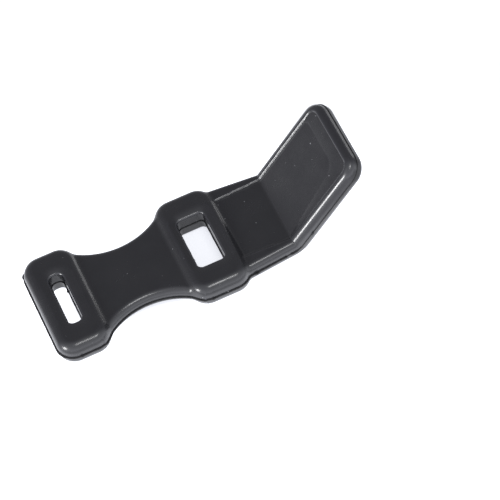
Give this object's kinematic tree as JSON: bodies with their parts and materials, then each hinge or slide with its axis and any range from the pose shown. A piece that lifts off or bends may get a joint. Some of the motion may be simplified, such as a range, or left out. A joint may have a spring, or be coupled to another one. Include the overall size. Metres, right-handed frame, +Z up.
{
  "type": "wheel chock",
  "caption": "Flat moulded rubber strap chock with a waisted neck, raised slotted blocks for lashing webbing and a turned-up rimmed tab; flexes at the neck and bend.",
  "frame": {"origin": "on the floor, below the middle of the part's overall length and width, with the part lying on both blocks and the tab turned up", "axes": "+X along the strap from the anchor block to the tab, +Y across the strap, +Z up"},
  "size_m": [0.2015, 0.074, 0.0597],
  "materials": {
    "rubber": "satin"
  },
  "bodies": {
    "strap": {"middle_block_upper": "rubber", "middle_block_lower": "rubber", "neck_inner_upper": "rubber", "neck_inner_lower": "rubber", "web_upper": "rubber", "web_lower": "rubber"},
    "anchor": {"anchor_block_upper": "rubber", "anchor_block_lower": "rubber", "neck_outer_upper": "rubber", "neck_outer_lower": "rubber"},
    "lift_tab": {"tab_upper": "rubber", "tab_lower": "rubber"}
  },
  "joints": [
    {"name": "neck_flex", "type": "hinge", "parent": "strap", "child": "anchor", "pos_m": [-0.0423, 0, 0.0087], "axis": [0, 1, 0], "range_deg": [-45, 45], "stiffness_Nm_per_rad": 0.5},
    {"name": "tab_flex", "type": "hinge", "parent": "strap", "child": "lift_tab", "pos_m": [0.0519, 0, 0.0087], "axis": [0, -1, 0], "range_deg": [-20, 15], "stiffness_Nm_per_rad": 1.5}
  ]
}
